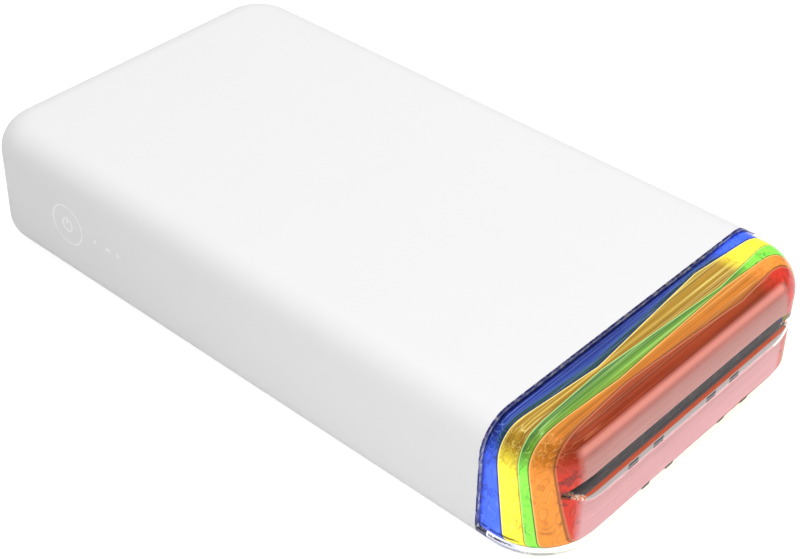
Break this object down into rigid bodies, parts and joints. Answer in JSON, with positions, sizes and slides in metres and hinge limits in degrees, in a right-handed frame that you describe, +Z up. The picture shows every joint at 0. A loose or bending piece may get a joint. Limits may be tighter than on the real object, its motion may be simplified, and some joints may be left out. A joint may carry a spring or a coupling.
{
  "type": "pocket photo printer",
  "caption": "White rounded pocket photo printer with a clear front cap over tinted layers, a print slot, a power button, a side cartridge door and a working film and card engine.",
  "frame": {"origin": "bottom centre of the bounding box, on the table between the rubber feet", "axes": "+X towards the front cap with the print slot, +Z up, -Y towards the long side with the power button; the cartridge door is on +Y"},
  "size_m": [0.1502, 0.0802, 0.0276],
  "materials": {
    "white_shell": "satin",
    "white_button": "satin",
    "clear": "polished",
    "light_guide": "polished",
    "tint_blue": "translucent",
    "tint_yellow": "translucent",
    "tint_green": "translucent",
    "tint_orange": "translucent",
    "tint_red": "translucent",
    "pale_plastic": "satin",
    "dark_plastic": "satin",
    "cartridge_plastic": "fine grain",
    "gear_plastic": "moulded",
    "steel": "rolled",
    "ground_steel": "ground",
    "aluminium": "extruded",
    "ceramic": "glazed",
    "brass": "cut",
    "rubber": "ground",
    "foam": "foam",
    "card": "coated",
    "film": "thin",
    "board": "solder mask",
    "parts": "mixed",
    "cell": "foil pouch",
    "wire": "insulated"
  },
  "bodies": {
    "printer": {"top_case": "white_shell", "bottom_cover": "white_shell", "rubber_feet": "rubber", "case_screws": "steel", "door_pins": "ground_steel", "case_magnet": "steel", "light_guide": "light_guide", "button_board": "board", "usb_socket": "steel", "cap_shell": "clear", "tint_blue": "tint_blue", "tint_yellow": "tint_yellow", "tint_green": "tint_green", "tint_orange": "tint_orange", "tint_red": "tint_red", "slot_lip": "pale_plastic", "slot_tunnel": "dark_plastic", "cap_backplate": "pale_plastic", "chassis": "dark_plastic", "side_plate": "steel", "front_bracket": "steel", "rear_bracket": "steel", "feed_motor": "steel", "cam_motor": "steel", "arm_shaft": "ground_steel", "cartridge_tray": "cartridge_plastic", "card_stack": "card", "ribbon_frame": "cartridge_plastic", "ribbon_film": "film", "main_board": "board", "board_parts": "parts", "battery": "cell", "battery_leads": "wire", "idler_studs": "ground_steel"},
    "door": {"cartridge_door": "white_shell", "door_pad": "foam", "door_magnet": "steel"},
    "button": {"power_button": "white_button"},
    "platen": {"platen_shaft": "ground_steel", "platen_rubber": "rubber", "platen_gear": "gear_plastic"},
    "capstan_roller": {"capstan": "ground_steel", "capstan_gear": "gear_plastic"},
    "pinch": {"pinch_roller": "dark_plastic"},
    "pickup": {"pickup_shaft": "ground_steel", "pickup_tyre": "rubber", "pickup_gear": "gear_plastic"},
    "feed_idler_gear": {"feed_idler": "gear_plastic"},
    "link_idler_gear": {"link_idler": "gear_plastic"},
    "feed_motor_shaft": {"feed_pinion": "brass"},
    "cam_motor_shaft": {"cam_pinion": "gear_plastic"},
    "cam": {"cam_shaft": "ground_steel", "cam_gear": "gear_plastic"},
    "head": {"head_arm": "steel", "heat_sink": "aluminium", "print_head": "ceramic"},
    "supply": {"supply_spool": "film", "supply_hub": "ground_steel"},
    "takeup": {"takeup_spool": "film", "takeup_gear": "gear_plastic"}
  },
  "joints": [
    {"name": "door_hinge", "type": "hinge", "parent": "printer", "child": "door", "pos_m": [0, 0.0388, 0.0044], "axis": [-1, 0, 0], "range_deg": [0, 90]},
    {"name": "power_press", "type": "slide", "parent": "printer", "child": "button", "axis": [0, 1, 0], "range_m": [0, 0.0004], "stiffness_N_per_m": 1500},
    {"name": "platen_spin", "type": "hinge", "parent": "printer", "child": "platen", "pos_m": [0.03, 0, 0.0085], "axis": [0, -1, 0], "continuous": true},
    {"name": "capstan_spin", "type": "hinge", "parent": "printer", "child": "capstan_roller", "pos_m": [0.051, 0, 0.01089], "axis": [0, -1, 0], "continuous": true},
    {"name": "pinch_spin", "type": "hinge", "parent": "printer", "child": "pinch", "pos_m": [0.051, 0, 0.01689], "axis": [0, -1, 0], "continuous": true},
    {"name": "pickup_spin", "type": "hinge", "parent": "printer", "child": "pickup", "pos_m": [0.0076, 0, 0.0122], "axis": [0, -1, 0], "continuous": true},
    {"name": "feed_idler_spin", "type": "hinge", "parent": "printer", "child": "feed_idler_gear", "pos_m": [0.01955, 0, 0.0133], "axis": [0, -1, 0], "continuous": true},
    {"name": "link_idler_spin", "type": "hinge", "parent": "printer", "child": "link_idler_gear", "pos_m": [0.04015, 0, 0.01273], "axis": [0, -1, 0], "continuous": true},
    {"name": "feed_motor_spin", "type": "hinge", "parent": "printer", "child": "feed_motor_shaft", "pos_m": [-0.00236, 0, 0.01795], "axis": [0, -1, 0], "continuous": true},
    {"name": "takeup_spin", "type": "hinge", "parent": "printer", "child": "takeup", "pos_m": [0.04222, 0, 0.02046], "axis": [0, -1, 0], "continuous": true},
    {"name": "supply_spin", "type": "hinge", "parent": "printer", "child": "supply", "pos_m": [0.018, 0, 0.0172], "axis": [0, -1, 0], "continuous": true},
    {"name": "cam_turn", "type": "hinge", "parent": "printer", "child": "cam", "pos_m": [-0.014, 0, 0.018], "axis": [0, 1, 0], "range_deg": [0, 150]},
    {"name": "cam_motor_turn", "type": "hinge", "parent": "printer", "child": "cam_motor_shaft", "pos_m": [-0.026, 0, 0.018], "axis": [0, 1, 0], "range_deg": [-210, 0]},
    {"name": "head_pivot", "type": "hinge", "parent": "printer", "child": "head", "pos_m": [0.004, 0, 0.0236], "axis": [0, 1, 0], "range_deg": [0, 5.5]}
  ],
  "couplings": [
    {"joint": "capstan_spin", "follows": "platen_spin", "ratio": 1},
    {"joint": "link_idler_spin", "follows": "platen_spin", "ratio": -0.83333},
    {"joint": "takeup_spin", "follows": "platen_spin", "ratio": 1.0714},
    {"joint": "supply_spin", "follows": "platen_spin", "ratio": -0.88393},
    {"joint": "feed_idler_spin", "follows": "platen_spin", "ratio": -0.76923},
    {"joint": "pickup_spin", "follows": "platen_spin", "ratio": 0.90909},
    {"joint": "feed_motor_spin", "follows": "platen_spin", "ratio": -2.5758},
    {"joint": "cam_motor_turn", "follows": "cam_turn", "ratio": -1.4},
    {"joint": "head_pivot", "follows": "cam_turn", "ratio": 0.036666}
  ]
}
